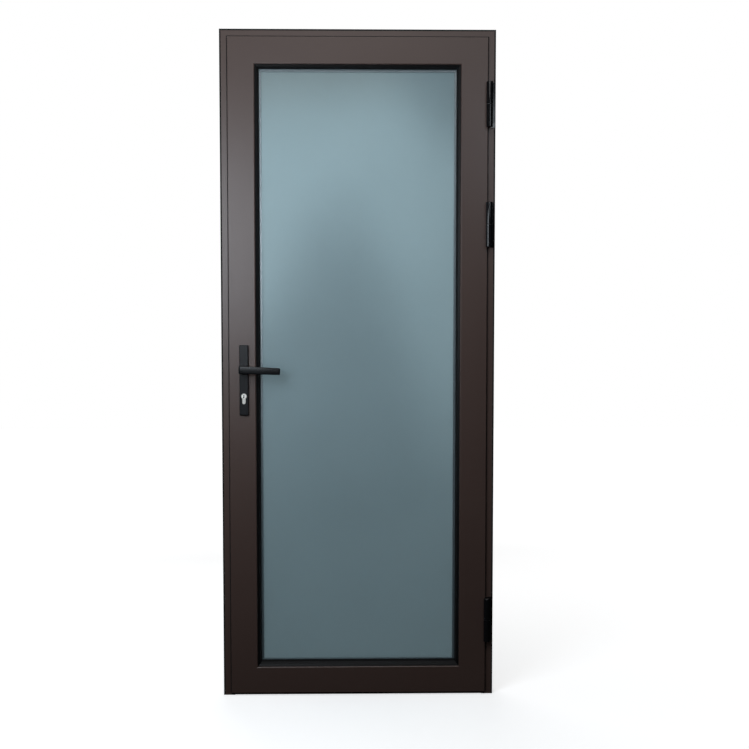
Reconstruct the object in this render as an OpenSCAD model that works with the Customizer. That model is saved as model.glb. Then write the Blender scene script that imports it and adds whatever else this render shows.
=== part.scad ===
// Hinged aluminium door with a frame on three sides, a sealed glass unit, a lever lock and three barrel hinges.
// Millimetres. X runs along the width, -Y is the outside face, Z is up and the floor is at Z = 0.

/* [Overall] */
// Width over the frame
frame_w = 860; // [760:10:1100]
// Height over the frame
frame_h = 2100; // [1950:10:2400]
// Gap between the floor and the lower edge of the leaf
floor_gap = 9; // [8:0.5:16]

/* [Frame section] */
// Width of frame face left in view beside the leaf
frame_face = 25; // [20:1:32]
// Width of the hollow frame tube
frame_tube = 36; // [32:1:44]
// Wall of the frame tube
frame_wall = 1.8; // [1.4:0.1:2.4]
// Reach of the rear stop past the tube
stop_reach = 17; // [15:0.5:18]
// Thickness of the stop wall
stop_wall = 2; // [1.5:0.1:3]

/* [Leaf section] */
// Depth of the leaf section
leaf_depth = 50; // [46:1:60]
// Width of the leaf face from lip edge to glazing edge
leaf_face = 84; // [78:1:95]
// Wall of the leaf section
leaf_wall = 2; // [1.6:0.1:2.6]
// Gap between the frame tube and the edge of the leaf
edge_gap = 8; // [7:0.5:11]
// Reach of the glazing flange past the leaf face
flange_reach = 12; // [12:0.5:20]
// Rounding of the long outer edges
edge_round = 1.6; // [0.8:0.1:2]

/* [Seals] */
// Width of a seal seat
seat_w = 8; // [7:0.1:9]
// Depth of a seal seat
seat_d = 5.7; // [5.3:0.1:7]
// Width of the seat's mouth
mouth_w = 2.6; // [2:0.1:3.2]
// Depth of the seat's mouth
mouth_d = 1.5; // [1.2:0.1:1.8]
// Width of the groove behind the mouth
groove_w = 5.2; // [4.4:0.1:5.6]
// Depth of the groove behind the mouth
groove_d = 2.5; // [2:0.1:2.8]
// Gap that a seal bulb closes
seal_gap = 3.3; // [3:0.1:5]
// Width of the seal fin left in view beside the leaf's lip
fin_reach = 2.8; // [1:0.1:3]
// Gap under the seal fin at the foot of the leaf
sweep_clear = 2.5; // [1.5:0.25:4]
// Clearance of seals and fitted pieces
fit = 0.2; // [0.1:0.05:0.3]

/* [Glazing] */
// Thickness of one pane
pane_t = 6; // [4:0.5:7]
// Cavity between the panes
cavity_t = 12; // [8:1:13]
// Gap between the section and the glass edge
glass_gap = 5; // [4.5:0.5:6]
// Length of a setting block
block_l = 100; // [60:5:140]
// Width of the edge sealant
sealant_w = 6; // [4:0.5:6]
// Width of the spacer
spacer_w = 7.5; // [6:0.5:9]
// Wall of the spacer
spacer_wall = 0.8; // [0.6:0.1:1.2]
// Width of a glazing bead
bead_w = 7.5; // [7:0.5:10]
// Step from the leaf face down to the bead
bead_step = 3; // [1:0.5:4]
// Fall of the bead's sloped face
bead_fall = 3.5; // [2:0.5:4]
// Wall of a bead
bead_wall = 1.3; // [1:0.1:1.6]
// Extra height of the front gasket along the foot of the glass
drip_rise = 7; // [0:0.5:8]

/* [Bottom brush] */
// Thickness of the brush pile
brush_t = 4; // [3:0.5:6]
// Gap under the brush
brush_clear = 2; // [1:0.5:4]
// Height of the brush carrier
carrier_h = 14; // [10:1:16]

/* [Lock] */
// Height of the lever axis
lever_z = 1045; // [1000:5:1080]
// Distance from lever axis to key axis
lock_centres = 85; // [85:1:92]
// Backset from the faceplate to the lever axis
backset = 30; // [30:1:32]
// Thickness of the faceplate
faceplate_t = 2; // [1.5:0.25:3]
// Width of the faceplate
faceplate_w = 22; // [20:1:24]
// Depth of the lock case
case_depth = 46; // [45.5:0.5:47]
// Thickness of the lock case
case_t = 16; // [15:0.5:18]
// Wall of the lock case
case_wall = 1.4; // [1:0.1:1.8]
// Throw of the latch
latch_throw = 12; // [10:0.5:12]
// Height of the latch
latch_h = 18; // [15:0.5:18]
// Thickness of the latch and the dead bolt
bolt_t = 11; // [9:0.5:11.5]
// Throw of the dead bolt
dead_throw = 20; // [15:1:22]
// Height of the dead bolt
dead_h = 22; // [18:1:24]
// Thickness of the strike plate
strike_t = 2; // [1.5:0.25:3]

/* [Handle] */
// Width of a handle plate
plate_w = 28; // [27:1:34]
// Thickness of a handle plate
plate_t = 11; // [9:0.5:13]
// Height of the plate above the lever axis
plate_up = 76; // [72:1:90]
// Height of the plate below the lever axis
plate_down = 145; // [144:1:165]
// Wall of a handle plate
plate_wall = 2.2; // [1.8:0.1:3]
// Chamfer of a handle plate
plate_bevel = 2; // [0.5:0.25:3]
// Reach of the lever from its axis
lever_reach = 117; // [105:1:140]
// Distance from the leaf face to the front of the lever
lever_stand = 60; // [54:1:70]
// Thickness of the lever bar
lever_t = 10; // [8:0.5:13]
// Height of the lever bar at the neck
lever_h = 24; // [19:0.5:25]
// Height of the lever bar at the tip
lever_tip_h = 20.5; // [15:0.5:22]
// Angle at which the lever bar hangs below level
lever_droop = 2.5; // [0:0.5:5]
// Width of the lever neck
neck_w = 26; // [18:0.5:27]
// Radius of the lever collar
collar_r = 13; // [12:0.5:14.5]
// Height of the lever collar
collar_h = 6; // [3:0.5:9]
// Side of the square spindle
spindle_w = 8; // [7:0.5:9]

/* [Cylinder] */
// Radius of the cylinder barrel
barrel_r = 8.5; // [8:0.1:9]
// Width of the cylinder's lower web
web_w = 10; // [9.5:0.1:11]
// Depth of the cylinder below its axis
web_drop = 24.5; // [23:0.25:26]
// Radius of a key plug
plug_r = 6.5; // [6:0.1:7]
// Running clearance of turning pieces
running = 0.05; // [0.02:0.01:0.08]
// Stand of the cylinder past the plate
cylinder_stand = 2; // [1:0.5:3]
// Radius swept by the cam
cam_r = 15; // [13:0.25:15.5]
// Thickness of the cam
cam_t = 10; // [9:0.5:11]

/* [Hinges] */
// Height of a hinge
hinge_h = 140; // [120:2:160]
// Radius of a hinge barrel
hinge_r = 10; // [9:0.25:10.5]
// Radius of a hinge pin
pin_r = 5; // [4.5:0.1:5.4]
// Radius of the bush around a pin
bush_r = 6.5; // [6.2:0.1:7.2]
// Thickness of the washer between the knuckles
washer_t = 2; // [1.5:0.25:3]
// Distance from the hinge axis to the leaf face
hinge_stand = 11; // [11:0.25:13]
// Distance from the hinge axis to the lip edge
hinge_out = 4; // [3.8:0.1:5]
// Thickness of the leaf flange
hinge_leaf_t = 3.5; // [3:0.1:4]
// Thickness of the frame plate
hinge_plate_t = 4; // [3:0.25:5]
// Distance from the frame top to the upper hinge's middle
top_hinge_drop = 232; // [180:2:300]
// Distance between the two upper hinges
upper_pair_pitch = 371; // [300:1:450]
// Height of the lower hinge's middle
low_hinge_z = 245; // [200:1:300]

/* [Fixings] */
// Radius of the frame's wall fixing holes
fixing_r = 4.5; // [3:0.25:6]
// Height of the lowest wall fixing
fixing_z = 400; // [390:5:440]
// Distance between wall fixings
fixing_pitch = 440; // [425:5:445]
// Radius of the hinge and lock screws
screw_r = 2; // [1.5:0.1:2.4]
// Radius of the handle bolts
bolt_r = 2.5; // [2:0.1:3]

/* [Hidden] */
$fn = 48;
leaf_front = -leaf_depth / 2;
leaf_rear = leaf_depth / 2;
frame_front = leaf_front + seat_d + seal_gap;
frame_rear = leaf_rear + seal_gap + seat_d;
frame_mid = (frame_front + frame_rear) / 2;
lip_reach = frame_tube + edge_gap - frame_face;
leaf_w = frame_w - 2 * frame_face;
leaf_top = frame_h - frame_face;
leaf_h = leaf_top - floor_gap;
lip_rear = leaf_front + seat_d;
seat_in = 1;
lip_seat = seat_in + seat_w / 2;
sight = leaf_face + flange_reach;
flange_seat = sight - seat_w / 2;
stop_end = frame_tube + stop_reach;
stop_seat = stop_end - seat_w / 2;
glass_rear = leaf_rear - seat_d - seal_gap;
glass_mid = glass_rear - pane_t;
glass_near = glass_mid - cavity_t;
glass_front = glass_near - pane_t;
glass_edge = leaf_face + glass_gap;
bead_top = leaf_front + bead_step;
bead_low = bead_top + bead_fall;
bead_back = glass_front - 4.8;
hook_y = bead_back + 7.5;
lock_web = lip_reach + case_depth + 2;
leaf_edge = leaf_w / 2 - lip_reach;
mitre = sight + 10;
lip_spare = floor_gap + fin_reach;
lever_x = -leaf_edge - faceplate_t + backset;
key_z = lever_z - lock_centres;
case_up = 42;
case_down = lock_centres + 40;
case_low = lever_z - case_down;
latch_low = 11;
lug_x = 25.8 - 28 + backset - faceplate_t;
dead_top = -33;
arm_rest = 22.5;
plate_front = leaf_front - plate_t;
lever_front = leaf_front - lever_stand;
bolt_up = 58;
bolt_down = lock_centres + 49;
hinge_x = leaf_w / 2 + hinge_out;
hinge_y = leaf_front - hinge_stand;
hinge_mids = [frame_h - top_hinge_drop, frame_h - top_hinge_drop - upper_pair_pitch, low_hinge_z];
frame_plate_w = frame_w / 2 - 2 - hinge_x;
hinge_screw_x = hinge_r + 0.3 + 2 * screw_r;
hinge_half = hinge_h / 2;
hinge_screw_pitch = hinge_half - 20;
pin_low = 8 - hinge_half;
leaf_plate_y = frame_front + 30;
follower_r = 8;
journal_r = 10.5;
spindle_hole = spindle_w + 0.1;
spindle_half = lever_stand - leaf_front - 2.5 * lever_t;
cylinder_half = plate_t - leaf_front + cylinder_stand;
section_cut = 400;

coat = [0.22, 0.17, 0.15];
black = [0.08, 0.08, 0.09];
rubber = [0.06, 0.06, 0.06];
steel = [0.62, 0.62, 0.64];
nickel = [0.75, 0.74, 0.72];
mill = [0.70, 0.71, 0.73];
glass = [0.62, 0.70, 0.74];
nylon = [0.80, 0.80, 0.76];
black_nylon = [0.08, 0.08, 0.09];

// Helpers for sections with rounded corners
function unit(v) = v / norm(v);
function plain(p) = [p[0], p[1]];
function turn(a) = a > 180 ? a - 360 : (a < -180 ? a + 360 : a);
function arc(c, r, from, sweep, steps) =
    [for (i = [0 : steps]) c + r * [cos(from + sweep * i / steps), sin(from + sweep * i / steps)]];
function corner(a, p, b, r, steps) =
    let (
        u = unit(a - p),
        v = unit(b - p),
        half = acos(u * v) / 2,
        c = p + unit(u + v) * r / sin(half),
        s = p + u * r / tan(half) - c,
        e = p + v * r / tan(half) - c,
        from = atan2(s[1], s[0])
    )
    arc(c, r, from, turn(atan2(e[1], e[0]) - from), steps);
function rounded(points, steps = 4) =
    let (n = len(points))
    [for (i = [0 : n - 1])
        let (p = points[i], a = points[(i + n - 1) % n], b = points[(i + 1) % n])
        each (len(p) == 3 ? corner(plain(a), plain(p), plain(b), p[2], steps) : [p])];

// A wedge that keeps one side of a rectangle between its mitres
module side_wedge(w, low, high, square_foot) {
    e = lip_spare;
    foot = square_foot ? low : low + mitre;
    rotate([90, 0, 0])
        linear_extrude(section_cut, center = true)
            polygon([[-w / 2 - e, low - (square_foot ? 0 : e)], [-w / 2 + mitre, foot],
                [-w / 2 + mitre, high - mitre], [-w / 2 - e, high + e]]);
}

module end_wedge(w, high) {
    e = lip_spare;
    rotate([90, 0, 0])
        linear_extrude(section_cut, center = true)
            polygon([[-w / 2 - e, high + e], [w / 2 + e, high + e],
                [w / 2 - mitre, high - mitre], [-w / 2 + mitre, high - mitre]]);
}

// Lengths of one section along the sides of a rectangle that is w wide
module left_side(w, low, high, square_foot = false) {
    intersection() {
        translate([-w / 2, 0, low])
            linear_extrude(high - low + lip_spare)
                children();
        side_wedge(w, low, high, square_foot);
    }
}

module right_side(w, low, high, square_foot = false) {
    mirror([1, 0, 0])
        left_side(w, low, high, square_foot)
            children();
}

module top_side(w, high) {
    intersection() {
        translate([-w / 2 - lip_spare, 0, high])
            rotate([0, 90, 0])
                linear_extrude(w + 2 * lip_spare)
                    children();
        end_wedge(w, high);
    }
}

module bottom_side(w, low) {
    mirror([0, 0, 1])
        top_side(w, -low)
            children();
}

// The seal seat's groove, going along +Y from its mouth
module seal_groove(s, y, way) {
    translate([s, y])
        scale([1, way])
            union() {
                translate([-mouth_w / 2, -1])
                    square([mouth_w, mouth_d + 1.1]);
                translate([-groove_w / 2, mouth_d])
                    square([groove_w, groove_d]);
            }
}

// The root of a seal in that groove
module seal_root(s, y, way) {
    translate([s, y])
        scale([1, way])
            union() {
                translate([-mouth_w / 2 + fit, -0.5])
                    square([mouth_w - 2 * fit, mouth_d + 1]);
                translate([-groove_w / 2 + fit, mouth_d + fit / 2])
                    square([groove_w - 2 * fit, groove_d - 2 * fit]);
            }
}

module seal_bulb(s, y, way) {
    h = seal_gap - 0.3;
    translate([s, y])
        scale([1, -way])
            polygon(rounded([[-3.6, 0], [3.6, 0], [2.4, h, 1.3], [-2.4, h, 1.3]]));
}

module frame_section() {
    difference() {
        polygon(rounded([
            [0, frame_front, 1], [frame_tube, frame_front, 1], [frame_tube, frame_rear - stop_wall],
            [stop_end - seat_w, frame_rear - stop_wall], [stop_end - seat_w, frame_rear - seat_d],
            [stop_end, frame_rear - seat_d], [stop_end, frame_rear, 1], [0, frame_rear, 1]]));
        translate([frame_wall, frame_front + frame_wall])
            square([frame_tube - 2 * frame_wall, frame_rear - frame_front - 2 * frame_wall]);
        seal_groove(stop_seat, frame_rear - seat_d, 1);
    }
}

module leaf_section() {
    ridge = hook_y - 2;
    difference() {
        polygon(rounded([
            [0, leaf_front, edge_round], [leaf_face, leaf_front, 2 * edge_round], [leaf_face, ridge],
            [leaf_face + 1.2, ridge + 0.8], [leaf_face + 1.2, ridge + 1.6], [leaf_face, ridge + 1.6],
            [leaf_face, leaf_rear - leaf_wall], [sight - seat_w, leaf_rear - leaf_wall],
            [sight - seat_w, leaf_rear - seat_d], [sight, leaf_rear - seat_d], [sight, leaf_rear, 1],
            [lip_reach, leaf_rear, 1], [lip_reach, leaf_front + leaf_wall],
            [seat_in + seat_w, leaf_front + leaf_wall], [seat_in + seat_w, lip_rear],
            [seat_in, lip_rear], [seat_in, lip_rear - 2], [0, lip_rear - 2]]));
        translate([lip_reach + leaf_wall, leaf_front + leaf_wall])
            square([lock_web - lip_reach - leaf_wall, leaf_depth - 2 * leaf_wall]);
        translate([lock_web + leaf_wall, leaf_front + leaf_wall])
            square([leaf_face - lock_web - 2 * leaf_wall, leaf_depth - 2 * leaf_wall]);
        seal_groove(flange_seat, leaf_rear - seat_d, 1);
        seal_groove(lip_seat, lip_rear, -1);
    }
}

module bead_section() {
    back = bead_back - 1.5;
    difference() {
        polygon(rounded([
            [leaf_face + fit, bead_top, 0.7], [leaf_face + bead_w, bead_low, 1],
            [leaf_face + bead_w, bead_back], [leaf_face + 3, bead_back], [leaf_face + 3, hook_y + 1.4],
            [leaf_face + fit, hook_y + 1.4], [leaf_face + fit, hook_y + fit], [leaf_face + 1.6, hook_y + fit],
            [leaf_face + 1.6, back], [leaf_face + fit, back]]));
        polygon([
            [leaf_face + fit + bead_wall, bead_top + 2.4 * bead_wall],
            [leaf_face + bead_w - bead_wall, bead_low + 1.3 * bead_wall],
            [leaf_face + bead_w - bead_wall, back], [leaf_face + fit + 1.6 + bead_wall, back],
            [leaf_face + fit + bead_wall, back - bead_wall]]);
    }
}

module wedge_section() {
    inner = leaf_face + bead_w + 0.05;
    polygon(rounded([
        [inner, bead_low + 0.9], [sight + 0.5, glass_front - 1.5, 0.6], [sight + 0.5, glass_front],
        [leaf_face + 5.5, glass_front], [leaf_face + 5.5, bead_back + 0.05], [inner, bead_back + 0.05]]));
}

// Countersunk screw along +Y with its flat head at the origin
module screw(r, length) {
    rotate([-90, 0, 0])
        difference() {
            rotate_extrude()
                polygon([[0, 0], [2 * r, 0], [2 * r, 0.3], [r, r + 0.3], [r, length - 0.8], [r - 0.8, length], [0, length]]);
            translate([0, 0, -0.1])
                cylinder(r = r * 0.62, h = 1.3, $fn = 6);
        }
}

module screw_hole(r, length) {
    rotate([-90, 0, 0])
        rotate_extrude()
            polygon([[0, -0.5], [2 * r + 0.15, -0.5], [2 * r + 0.15, 0.3], [r + 0.15, r + 0.3],
                [r + 0.15, length], [0, length]]);
}

// Outline of the profile cylinder about its axis, in X and Z
module cylinder_outline(extra) {
    union() {
        circle(r = barrel_r + extra);
        translate([-web_w / 2 - extra, -web_drop + web_w / 2])
            square([web_w + 2 * extra, web_drop - web_w / 2]);
        translate([0, -web_drop + web_w / 2])
            circle(r = web_w / 2 + extra);
    }
}

module through_y(y0, y1) {
    translate([0, y1, 0])
        rotate([90, 0, 0])
            linear_extrude(y1 - y0)
                children();
}

module place_lock() {
    translate([lever_x, 0, lever_z])
        children();
}

// Coordinates from the edge of the leaf at lever height
module place_edge() {
    translate([-leaf_edge, 0, lever_z])
        children();
}

module fixing_holes(side) {
    for (i = [0 : 3])
        translate([side * (frame_w / 2 - frame_tube - 1), frame_mid, fixing_z + i * fixing_pitch])
            rotate([0, side * 90, 0])
                cylinder(r = fixing_r, h = frame_tube + 2);
}

// Frame
module frame_lock_jamb() {
    color(coat)
        difference() {
            left_side(frame_w, 0, frame_h, true)
                frame_section();
            fixing_holes(-1);
            place_edge()
                union() {
                    translate([-edge_gap - 3, -bolt_t / 2 - 2, latch_low - 3])
                        cube([4, bolt_t + 4, latch_h + 6]);
                    translate([-edge_gap - 3, -bolt_t / 2 - 2, dead_top - dead_h - 3])
                        cube([4, bolt_t + 4, dead_h + 6]);
                    for (z = [latch_low + latch_h + 10, dead_top - dead_h - 10])
                        translate([-edge_gap + 1, 0, z])
                            rotate([0, -90, 0])
                                cylinder(r = screw_r + 0.5, h = 5);
                }
        }
}

module frame_hinge_jamb() {
    color(coat)
        difference() {
            right_side(frame_w, 0, frame_h, true)
                frame_section();
            fixing_holes(1);
            for (m = hinge_mids, z = [-1, 0, 1])
                translate([hinge_x + hinge_screw_x, frame_front - 1, m + z * hinge_screw_pitch])
                    rotate([-90, 0, 0])
                        cylinder(r = screw_r + 0.5, h = 4);
        }
}

module frame_head() {
    color(coat)
        difference() {
            top_side(frame_w, frame_h)
                frame_section();
            for (x = [-200, 200])
                translate([x, frame_mid, frame_h - frame_tube - 1])
                    cylinder(r = fixing_r, h = frame_tube + 2);
        }
}

// An angle that joins two hollow lengths at a mitre, drawn in the upper left corner
module cleat(w, high, near, far, y0, y1, arm, wall) {
    translate([-w / 2, 0, high])
        difference() {
            through_y(y0 + fit, y1 - fit)
                polygon([[near + fit, -near - fit], [near + arm, -near - fit], [near + arm, -far + fit],
                    [far - fit, -far + fit], [far - fit, -near - arm], [near + fit, -near - arm]]);
            translate([0, y0 + wall, 0])
                through_y(0, y1 - y0 - 2 * wall)
                    union() {
                        translate([far, -far + wall])
                            square([near + arm - far + 1, far - near - 2 * wall]);
                        translate([near + wall, -near - arm - 1])
                            square([far - near - 2 * wall, near + arm - far + 1]);
                    }
        }
}

module frame_corner_cleats() {
    color(mill)
        for (side = [0, 1])
            mirror([side, 0, 0])
                cleat(frame_w, frame_h, frame_wall, frame_tube - frame_wall,
                    frame_front + frame_wall, frame_rear - frame_wall, 90, 5);
}

module stop_seal_section() {
    union() {
        seal_root(stop_seat, frame_rear - seat_d, 1);
        seal_bulb(stop_seat, frame_rear - seat_d, 1);
    }
}

module frame_stop_gasket() {
    color(rubber)
        union() {
            left_side(frame_w, 0, frame_h, true)
                stop_seal_section();
            right_side(frame_w, 0, frame_h, true)
                stop_seal_section();
            top_side(frame_w, frame_h)
                stop_seal_section();
        }
}

module strike_plate() {
    high = latch_low + latch_h + 18;
    low = dead_top - dead_h - 18;
    color(steel)
        place_edge()
            difference() {
                translate([-edge_gap, 0, 0])
                    rotate([0, 90, 0])
                        linear_extrude(strike_t)
                            polygon(rounded([[-high, -12, 5], [-low, -12, 5], [-low, 12, 5], [-high, 12, 5]]));
                translate([-edge_gap - 1, -bolt_t / 2 - 0.6, latch_low - 0.8])
                    cube([strike_t + 2, bolt_t + 1.2, latch_h + 1.6]);
                translate([-edge_gap - 1, -bolt_t / 2 - 0.6, dead_top - dead_h - 0.8])
                    cube([strike_t + 2, bolt_t + 1.2, dead_h + 1.6]);
                for (z = [latch_low + latch_h + 10, dead_top - dead_h - 10])
                    translate([-edge_gap + strike_t, 0, z])
                        rotate([0, 0, 90])
                            screw_hole(screw_r, 20);
            }
}

module strike_screws() {
    color(steel)
        place_edge()
            for (z = [latch_low + latch_h + 10, dead_top - dead_h - 10])
                translate([-edge_gap + strike_t, 0, z])
                    rotate([0, 0, 90])
                        screw(screw_r, 12);
}

// Hinges
module place_hinge(m) {
    translate([hinge_x, hinge_y, m])
        children();
}

module knuckle(low, high, bevel_low) {
    b = 1.5;
    rotate_extrude()
        polygon(bevel_low
            ? [[0, low], [hinge_r - b, low], [hinge_r, low + b], [hinge_r, high], [0, high]]
            : [[0, low], [hinge_r, low], [hinge_r, high - b], [hinge_r - b, high], [0, high]]);
}

module hinge_frame_half(m) {
    face = frame_front - hinge_y;
    top = face - hinge_plate_t;
    left = 0.8 - hinge_out;
    color(black)
        place_hinge(m)
            difference() {
                union() {
                    knuckle(-hinge_half, -washer_t / 2, true);
                    translate([0, 0, -hinge_half])
                        linear_extrude(hinge_half - washer_t / 2)
                            polygon(rounded([[left, 2], [left + 5, 2], [left + 5, top, 1.5],
                                [frame_plate_w, top, 1], [frame_plate_w, face], [left, face]]));
                    translate([0, 0, -washer_t])
                        linear_extrude(hinge_half + washer_t)
                            polygon(rounded([[left + 4.5, top], [frame_plate_w, top, 1],
                                [frame_plate_w, face], [left + 4.5, face]]));
                }
                translate([0, 0, pin_low])
                    cylinder(r = pin_r, h = hinge_half);
                for (z = [-1, 0, 1])
                    translate([hinge_screw_x, top, z * hinge_screw_pitch])
                        screw_hole(screw_r, 20);
            }
}

module hinge_pin(m) {
    color(steel)
        place_hinge(m)
            translate([0, 0, pin_low])
                cylinder(r = pin_r, h = hinge_h - 18);
}

module hinge_leaf_half(m) {
    rear = frame_front - hinge_y - 0.5;
    front = rear - hinge_leaf_t;
    left = 0.8 - hinge_out;
    edge = leaf_edge - hinge_x;
    far = leaf_plate_y - hinge_y;
    color(black)
        place_hinge(m)
            difference() {
                union() {
                    knuckle(washer_t / 2, hinge_half, false);
                    translate([0, 0, washer_t / 2])
                        linear_extrude(hinge_half - washer_t / 2 - 1)
                            polygon(rounded([[left, 2], [left + 3.7, 2], [left + 3.7, rear, 1.5],
                                [edge + hinge_leaf_t, rear, 1], [edge + hinge_leaf_t, far, 1.2], [edge, far],
                                [edge, front, 1.5], [left, front, 1]]));
                }
                cylinder(r = bush_r, h = hinge_half - 6);
                translate([-hinge_x, -hinge_y, -m])
                    leaf_screw_places(m)
                        screw_hole(screw_r, 20);
            }
}

module hinge_bush(m) {
    inner = pin_r + running;
    outer = hinge_r - 0.4;
    w = washer_t / 2;
    color(black_nylon)
        place_hinge(m)
            rotate_extrude()
                polygon([[inner, -w], [outer, -w], [outer, w], [bush_r, w], [bush_r, hinge_half - 8],
                    [inner, hinge_half - 8]]);
}

module leaf_screw_places(m) {
    for (p = [[12, 0.26], [22, 0.52], [12, 0.78]])
        translate([leaf_edge + hinge_leaf_t, frame_front + p[0], m + p[1] * hinge_half])
            rotate([0, 0, 90])
                children();
}

module hinge_frame_screws() {
    color(black)
        for (m = hinge_mids, z = [-1, 0, 1])
            translate([hinge_x + hinge_screw_x, frame_front - hinge_plate_t, m + z * hinge_screw_pitch])
                screw(screw_r, 14);
}

module hinge_leaf_screws() {
    color(black)
        for (m = hinge_mids)
            leaf_screw_places(m)
                screw(screw_r, 12);
}

module top_hinge_frame_half() {
    hinge_frame_half(hinge_mids[0]);
}

module middle_hinge_frame_half() {
    hinge_frame_half(hinge_mids[1]);
}

module bottom_hinge_frame_half() {
    hinge_frame_half(hinge_mids[2]);
}

module top_hinge_pin() {
    hinge_pin(hinge_mids[0]);
}

module middle_hinge_pin() {
    hinge_pin(hinge_mids[1]);
}

module bottom_hinge_pin() {
    hinge_pin(hinge_mids[2]);
}

module top_hinge_leaf_half() {
    hinge_leaf_half(hinge_mids[0]);
}

module middle_hinge_leaf_half() {
    hinge_leaf_half(hinge_mids[1]);
}

module bottom_hinge_leaf_half() {
    hinge_leaf_half(hinge_mids[2]);
}

module top_hinge_bush() {
    hinge_bush(hinge_mids[0]);
}

module middle_hinge_bush() {
    hinge_bush(hinge_mids[1]);
}

module bottom_hinge_bush() {
    hinge_bush(hinge_mids[2]);
}

// Leaf profiles
module leaf_lock_stile() {
    color(coat)
        difference() {
            left_side(leaf_w, floor_gap, leaf_top)
                leaf_section();
            place_edge()
                translate([-1, -case_t / 2 - fit, -case_down - fit])
                    cube([leaf_wall + 2, case_t + 2 * fit, case_down + case_up + 2 * fit]);
            faceplate_screw_places()
                rotate([-90, 0, 0])
                    cylinder(r = screw_r + 0.5, h = 10);
            place_lock()
                through_y(-leaf_depth, leaf_depth)
                    union() {
                        circle(r = 10);
                        translate([0, -lock_centres])
                            cylinder_outline(0.6);
                        translate([0, bolt_up])
                            circle(r = bolt_r + 0.5);
                        translate([0, -bolt_down])
                            circle(r = bolt_r + 0.5);
                    }
        }
}

module hinge_notches() {
    for (m = hinge_mids)
        translate([leaf_w / 2 - seat_in - seat_w - 1, leaf_front + leaf_wall, m - 1])
            cube([seat_in + seat_w + 2, seat_d + seal_gap, hinge_half + 2]);
}

module leaf_hinge_stile() {
    color(coat)
        difference() {
            right_side(leaf_w, floor_gap, leaf_top)
                leaf_section();
            hinge_notches();
            for (m = hinge_mids)
                leaf_screw_places(m)
                    rotate([-90, 0, 0])
                        cylinder(r = screw_r + 0.5, h = 8);
        }
}

module leaf_top_rail() {
    color(coat)
        top_side(leaf_w, leaf_top)
            leaf_section();
}

module leaf_bottom_rail() {
    color(coat)
        bottom_side(leaf_w, floor_gap)
            leaf_section();
}

module leaf_cleat(high) {
    cleat(leaf_w, high, lip_reach + leaf_wall, lock_web, leaf_front + leaf_wall, leaf_rear - leaf_wall, 110, 6);
}

module leaf_corner_cleats() {
    color(mill)
        for (side = [0, 1])
            mirror([side, 0, 0])
                union() {
                    leaf_cleat(leaf_top);
                    mirror([0, 0, 1])
                        leaf_cleat(-floor_gap);
                }
}

// The lip's seal, with a thin fin that stays in view past the lip
module lip_seal_section(reach) {
    union() {
        seal_root(lip_seat, lip_rear, -1);
        seal_bulb(lip_seat, lip_rear, -1);
        translate([-reach, lip_rear])
            square([reach + lip_seat, 1.5]);
    }
}

module leaf_lip_gasket() {
    color(rubber)
        difference() {
            union() {
                left_side(leaf_w, floor_gap, leaf_top)
                    lip_seal_section(fin_reach);
                right_side(leaf_w, floor_gap, leaf_top)
                    lip_seal_section(fin_reach);
                top_side(leaf_w, leaf_top)
                    lip_seal_section(fin_reach);
                intersection() {
                    bottom_side(leaf_w, floor_gap)
                        lip_seal_section(floor_gap - sweep_clear);
                    translate([-leaf_w / 2, leaf_front, 0])
                        cube([leaf_w, leaf_depth, lip_reach]);
                }
            }
            hinge_notches();
            for (m = hinge_mids)
                translate([leaf_w / 2 - seat_in, leaf_front, m - hinge_half - 1])
                    cube([seat_w, leaf_depth, hinge_h + 2]);
        }
}

// Glazing
module all_sides() {
    left_side(leaf_w, floor_gap, leaf_top)
        children();
    right_side(leaf_w, floor_gap, leaf_top)
        children();
    top_side(leaf_w, leaf_top)
        children();
    bottom_side(leaf_w, floor_gap)
        children();
}

module pane(y) {
    color(glass)
        translate([-leaf_w / 2 + glass_edge, y, floor_gap + glass_edge])
            cube([leaf_w - 2 * glass_edge, pane_t, leaf_h - 2 * glass_edge]);
}

module front_glass_pane() {
    pane(glass_front);
}

module rear_glass_pane() {
    pane(glass_mid);
}

module glass_spacer() {
    so = glass_edge + sealant_w;
    si = so + spacer_w;
    color(mill)
        all_sides()
            polygon([[so, glass_near], [si, glass_near], [si, glass_mid], [so, glass_mid],
                [so, glass_mid - spacer_wall], [si - spacer_wall, glass_mid - spacer_wall],
                [si - spacer_wall, glass_near + spacer_wall], [so, glass_near + spacer_wall]]);
}

module glass_edge_sealant() {
    color(rubber)
        all_sides()
            translate([glass_edge + 0.3, glass_near])
                square([sealant_w - 0.3, cavity_t]);
}

module setting_blocks() {
    low = hook_y + 2;
    t = glass_rear - low;
    color(nylon)
        union() {
            for (x = [-0.28, 0.28])
                translate([x * leaf_w - block_l / 2, low, floor_gap + leaf_face])
                    cube([block_l, t, glass_gap]);
            translate([-0.28 * leaf_w - block_l / 2, low, leaf_top - glass_edge])
                cube([block_l, t, glass_gap]);
            translate([-leaf_w / 2 + leaf_face, low, leaf_top - 0.22 * leaf_h])
                cube([glass_gap, t, block_l]);
            translate([leaf_w / 2 - glass_edge, low, floor_gap + 0.17 * leaf_h])
                cube([glass_gap, t, block_l]);
        }
}

module lock_side_bead() {
    color(black)
        left_side(leaf_w, floor_gap, leaf_top)
            bead_section();
}

module hinge_side_bead() {
    color(black)
        right_side(leaf_w, floor_gap, leaf_top)
            bead_section();
}

module top_bead() {
    color(black)
        top_side(leaf_w, leaf_top)
            bead_section();
}

module bottom_bead() {
    color(black)
        bottom_side(leaf_w, floor_gap)
            bead_section();
}

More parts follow.
